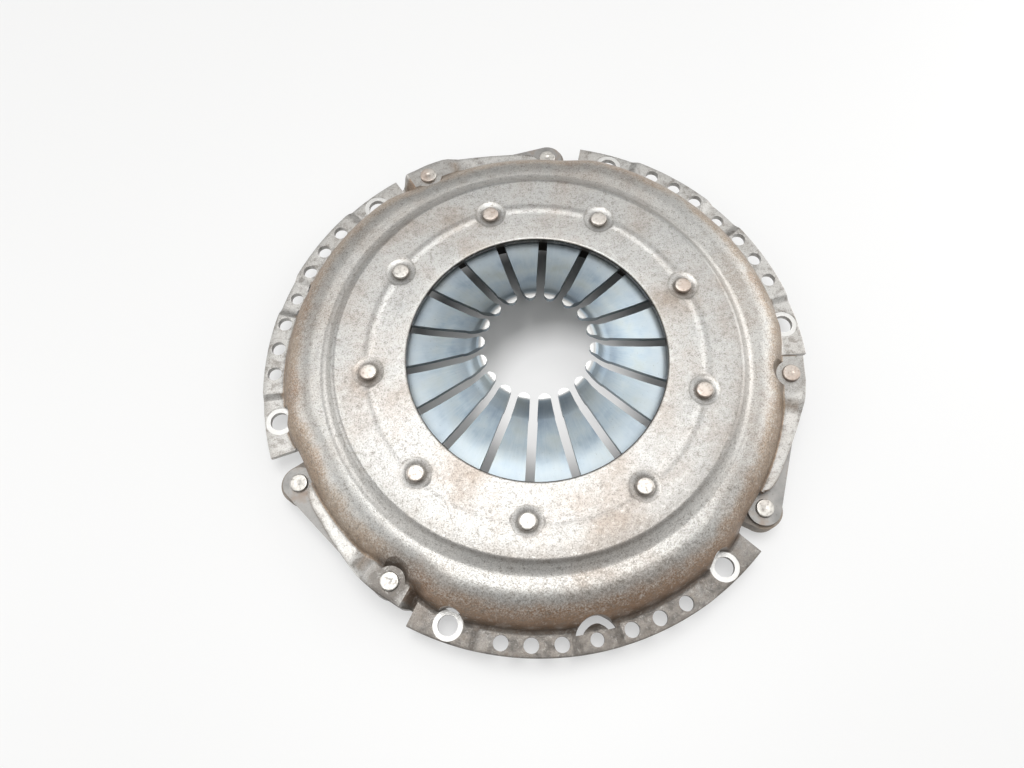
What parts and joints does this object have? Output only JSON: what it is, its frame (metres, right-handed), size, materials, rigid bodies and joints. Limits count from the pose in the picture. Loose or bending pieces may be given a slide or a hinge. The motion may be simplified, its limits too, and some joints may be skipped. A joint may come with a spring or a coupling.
{
  "type": "clutch pressure plate",
  "caption": "Diaphragm-spring clutch pressure plate: pressed cover for a flywheel rim, leaf straps and a cast ring that lifts when the spring fingers are pushed.",
  "frame": {"origin": "centre of the flywheel face of the six bolt pads", "axes": "+Z along the crankshaft axis towards the release bearing; the first dowel hole lies on -Y"},
  "size_m": [0.2646, 0.2604, 0.0469],
  "materials": {
    "cover_steel": "pressed mild steel with mill scale and light rust stain",
    "spring_steel": "tempered spring steel, blue grey, tips worn bright",
    "wire_steel": "drawn round wire",
    "grey_iron": "cast sides, ground friction face",
    "rivet_steel": "bright cold-formed heads",
    "strap_steel": "rolled spring strip"
  },
  "bodies": {
    "cover": {"cover": "cover_steel", "diaphragm_spring": "spring_steel", "upper_pivot_ring": "wire_steel", "lower_pivot_ring": "wire_steel", "fulcrum_rivet_1": "rivet_steel", "fulcrum_rivet_2": "rivet_steel", "fulcrum_rivet_3": "rivet_steel", "fulcrum_rivet_4": "rivet_steel", "fulcrum_rivet_5": "rivet_steel", "fulcrum_rivet_6": "rivet_steel", "fulcrum_rivet_7": "rivet_steel", "fulcrum_rivet_8": "rivet_steel", "fulcrum_rivet_9": "rivet_steel", "strap_cover_rivet_1": "rivet_steel", "strap_cover_rivet_2": "rivet_steel", "strap_cover_rivet_3": "rivet_steel", "drive_strap_1_upper": "strap_steel", "drive_strap_1_middle": "strap_steel", "drive_strap_1_lower": "strap_steel", "drive_strap_2_upper": "strap_steel", "drive_strap_2_middle": "strap_steel", "drive_strap_2_lower": "strap_steel", "drive_strap_3_upper": "strap_steel", "drive_strap_3_middle": "strap_steel", "drive_strap_3_lower": "strap_steel"},
    "pressure_plate": {"pressure_plate": "grey_iron", "strap_lug_rivet_1": "rivet_steel", "strap_lug_rivet_2": "rivet_steel", "strap_lug_rivet_3": "rivet_steel"}
  },
  "joints": [
    {"name": "plate_lift", "type": "slide", "parent": "cover", "child": "pressure_plate", "axis": [0, 0, 1], "range_m": [0, 0.0024], "stiffness_N_per_m": 15000, "springref_m": -0.004, "deforming": ["diaphragm_spring", "drive_strap_1_upper", "drive_strap_1_middle", "drive_strap_1_lower", "drive_strap_2_upper", "drive_strap_2_middle", "drive_strap_2_lower", "drive_strap_3_upper", "drive_strap_3_middle", "drive_strap_3_lower"]}
  ]
}
